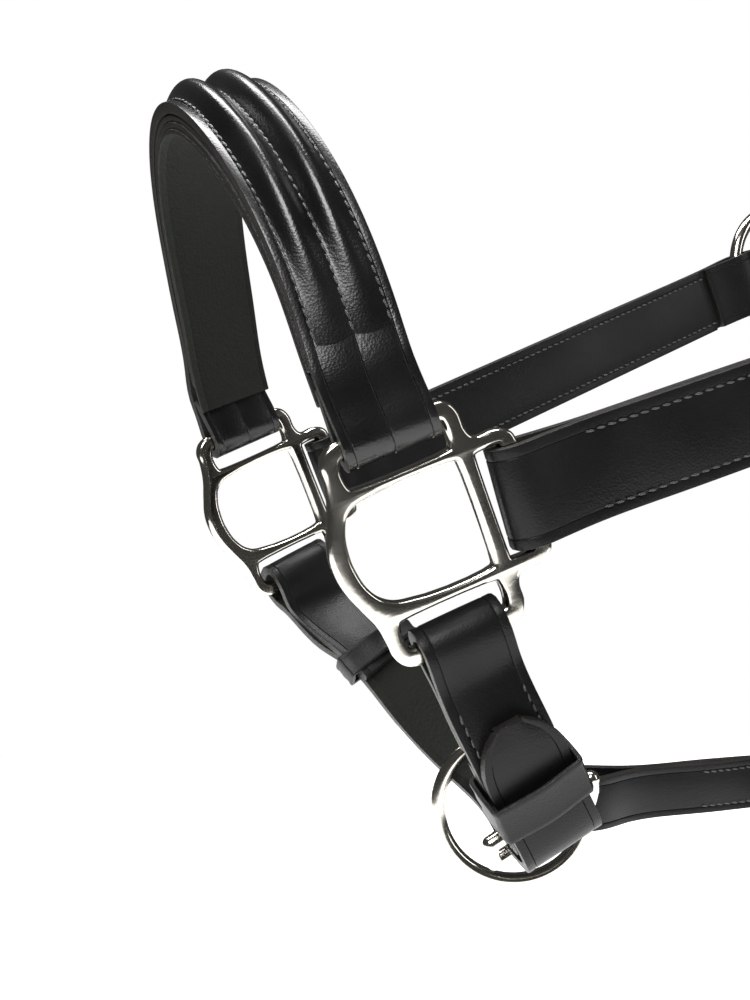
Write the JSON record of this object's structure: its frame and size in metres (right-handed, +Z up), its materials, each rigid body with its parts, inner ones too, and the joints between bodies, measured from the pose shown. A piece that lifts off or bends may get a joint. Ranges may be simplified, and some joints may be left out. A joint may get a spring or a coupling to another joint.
{
  "type": "leather headcollar",
  "caption": "Black leather headcollar for a horse: padded noseband with raised rolls, cast strap fittings, buckled crown and chin, ring under the jaw and a bolt snap at the throat.",
  "frame": {"origin": "the poll: middle of the underside of the crownpiece, where it rests behind the ears", "axes": "+Z up, -X towards the nose, -Y the near (left) side of the head, headcollar posed as worn"},
  "size_m": [0.3697, 0.2224, 0.3904],
  "materials": {
    "strap_leather": "near-black bridle leather, semi-gloss, tone-on-tone stitching",
    "roll_leather": "glossy black leather stretched over a raised padded roll",
    "lining_leather": "matte black lining leather with a faint green cast",
    "nickel": "polished nickel plate, warm silver"
  },
  "bodies": {
    "headcollar": {"noseband_strap": "strap_leather", "near_cheekpiece": "strap_leather", "far_cheekpiece": "strap_leather", "near_buckle_chape": "strap_leather", "far_buckle_chape": "strap_leather", "crown_strap": "strap_leather", "near_crown_keeper": "strap_leather", "far_crown_keeper": "strap_leather", "near_chin_strap": "strap_leather", "far_chin_strap": "strap_leather", "near_chin_keeper": "strap_leather", "far_chin_keeper": "strap_leather", "throat_strap": "strap_leather", "jowl_strap": "strap_leather", "noseband_front_roll": "roll_leather", "noseband_rear_roll": "roll_leather", "noseband_lining": "lining_leather", "crown_lining": "lining_leather", "near_fitting": "nickel", "far_fitting": "nickel", "near_crown_buckle": "nickel", "far_crown_buckle": "nickel", "chin_buckle_frame": "nickel", "snap_swivel_eye": "nickel"},
    "near_ring": {"near_throat_ring": "nickel"},
    "far_ring": {"far_throat_ring": "nickel"},
    "lead_ring": {"chin_ring": "nickel"},
    "near_tongue": {"near_crown_tongue": "nickel"},
    "far_tongue": {"far_crown_tongue": "nickel"},
    "chin_tongue": {"chin_buckle_tongue": "nickel"},
    "near_runner": {"near_crown_runner": "strap_leather"},
    "far_runner": {"far_crown_runner": "strap_leather"},
    "snap": {"snap_body": "nickel"},
    "bolt": {"snap_bolt": "nickel"}
  },
  "joints": [
    {"name": "near_ring_turn", "type": "hinge", "parent": "headcollar", "child": "near_ring", "pos_m": [-0.06653, -0.09838, -0.18524], "axis": [-0.1198, -0.9903, -0.0705], "continuous": true},
    {"name": "far_ring_turn", "type": "hinge", "parent": "headcollar", "child": "far_ring", "pos_m": [-0.07099, 0.09872, -0.17294], "axis": [-0.1198, 0.9903, -0.0705], "continuous": true},
    {"name": "lead_ring_turn", "type": "hinge", "parent": "headcollar", "child": "lead_ring", "pos_m": [-0.24701, 0, -0.35473], "axis": [0.3746, 0.9272, 0], "continuous": true},
    {"name": "near_tongue_lift", "type": "hinge", "parent": "headcollar", "child": "near_tongue", "pos_m": [-0.03172, -0.09278, -0.10073], "axis": [0.9233, -0.085, -0.3747], "range_deg": [0, 12]},
    {"name": "far_tongue_lift", "type": "hinge", "parent": "headcollar", "child": "far_tongue", "pos_m": [-0.04103, 0.09266, -0.08663], "axis": [-0.9427, -0.0912, 0.3208], "range_deg": [0, 12]},
    {"name": "chin_tongue_lift", "type": "hinge", "parent": "headcollar", "child": "chin_tongue", "pos_m": [-0.27138, -0.061, -0.33435], "axis": [-0.8577, 0.139, -0.495], "range_deg": [0, 12]},
    {"name": "near_runner_slide", "type": "slide", "parent": "headcollar", "child": "near_runner", "axis": [0.3826, 0.1156, 0.9166], "range_m": [-0.004, 0.01]},
    {"name": "far_runner_slide", "type": "slide", "parent": "headcollar", "child": "far_runner", "axis": [0.3303, -0.1206, 0.9362], "range_m": [-0.004, 0.01]},
    {"name": "snap_swivel", "type": "hinge", "parent": "headcollar", "child": "snap", "pos_m": [-0.06608, -0.09467, -0.23811], "axis": [0.0085, 0.07, -0.9975], "range_deg": [-25, 25]},
    {"name": "bolt_slide", "type": "slide", "parent": "snap", "child": "bolt", "axis": [0.0085, 0.07, -0.9975], "range_m": [0, 0.008], "stiffness_N_per_m": 120, "springref_m": -0.002}
  ]
}
